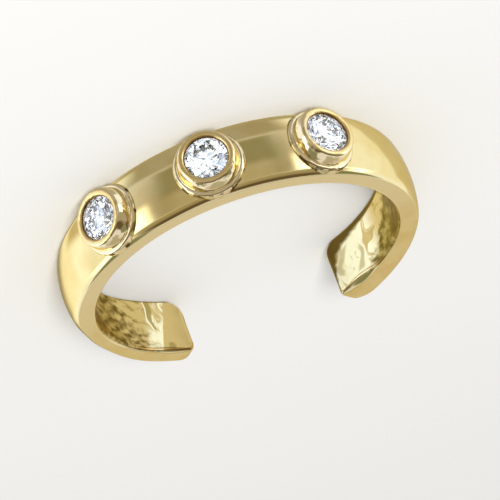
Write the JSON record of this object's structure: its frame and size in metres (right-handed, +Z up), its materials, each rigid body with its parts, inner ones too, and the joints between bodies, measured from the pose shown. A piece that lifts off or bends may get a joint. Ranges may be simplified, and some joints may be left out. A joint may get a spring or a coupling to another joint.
{
  "type": "toe ring",
  "caption": "Open toe ring with a polished domed band that narrows to its rounded ends and thickens towards one of them, and round cut stones in raised cup settings on flanges.",
  "frame": {"origin": "where the axis of the toe hole leaves the plane of the lower side face, on which the ring lies", "axes": "+Z up, out of the toe hole and within a degree of its axis; the middle stone faces -Y and the gap between the ends is at +Y; +X is to the right seen from the middle stone's side"},
  "size_m": [0.0168, 0.0171, 0.0033],
  "materials": {
    "gold": "polished yellow gold, lightly satin inside the band",
    "stone": "clear colourless brilliant cut"
  },
  "bodies": {
    "root": {"band": "gold", "stone_left": "stone", "stone_middle": "stone", "stone_right": "stone"}
  },
  "joints": []
}
